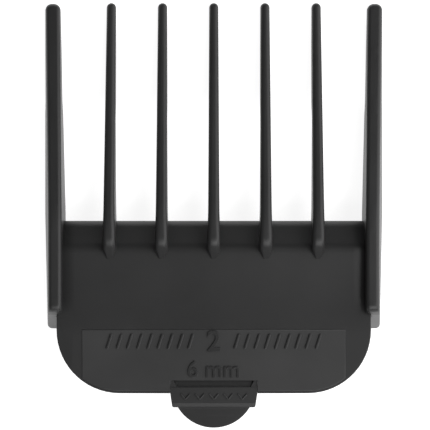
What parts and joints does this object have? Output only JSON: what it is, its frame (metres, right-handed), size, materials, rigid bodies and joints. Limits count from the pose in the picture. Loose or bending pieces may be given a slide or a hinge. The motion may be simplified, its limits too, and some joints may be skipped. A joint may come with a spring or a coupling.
{
  "type": "clipper guard comb",
  "caption": "Guard comb for a hair clipper: a flat heel plate, long tapered teeth, side rails that seat on the blade and a flexing release tab with a latch.",
  "frame": {"origin": "centre of the base of the overall box: the side rails, tooth tips and this origin are at Z = 0", "axes": "+X across the teeth, +Y from the release tab towards the tooth tips, +Z away from the clipper blade, towards the skin"},
  "size_m": [0.0508, 0.0632, 0.0096],
  "materials": {
    "comb_plastic": "satin moulded black plastic with a fine grain",
    "panel_plastic": "the same black plastic, polished a little more in the marking panel",
    "raised_marking": "the same black plastic, glossier on the raised marks"
  },
  "bodies": {
    "comb": {"heel_plate": "comb_plastic", "front_band": "comb_plastic", "inner_tooth_1": "comb_plastic", "inner_tooth_2": "comb_plastic", "inner_tooth_3": "comb_plastic", "inner_tooth_4": "comb_plastic", "inner_tooth_5": "comb_plastic", "outer_tooth_left": "comb_plastic", "outer_tooth_right": "comb_plastic", "side_rail_left": "comb_plastic", "side_rail_right": "comb_plastic", "front_stop_left": "comb_plastic", "front_stop_right": "comb_plastic", "support_rib_1": "comb_plastic", "support_rib_2": "comb_plastic", "support_rib_3": "comb_plastic", "support_rib_4": "comb_plastic", "support_rib_5": "comb_plastic", "size_panel": "panel_plastic", "size_numeral": "raised_marking", "size_unit": "raised_marking", "size_bars": "raised_marking", "hinge_web": "comb_plastic"},
    "release_tab": {"tab_base": "comb_plastic", "tab_tongue": "comb_plastic", "latch_wall": "comb_plastic", "latch_hook": "comb_plastic", "tab_chevrons": "raised_marking"}
  },
  "joints": [
    {"name": "tab_hinge", "type": "hinge", "parent": "comb", "child": "release_tab", "pos_m": [0, -0.0251, 0.00707], "axis": [-1, 0, 0], "range_deg": [0, 12], "stiffness_Nm_per_rad": 0.08, "deforming": ["hinge_web"]}
  ]
}
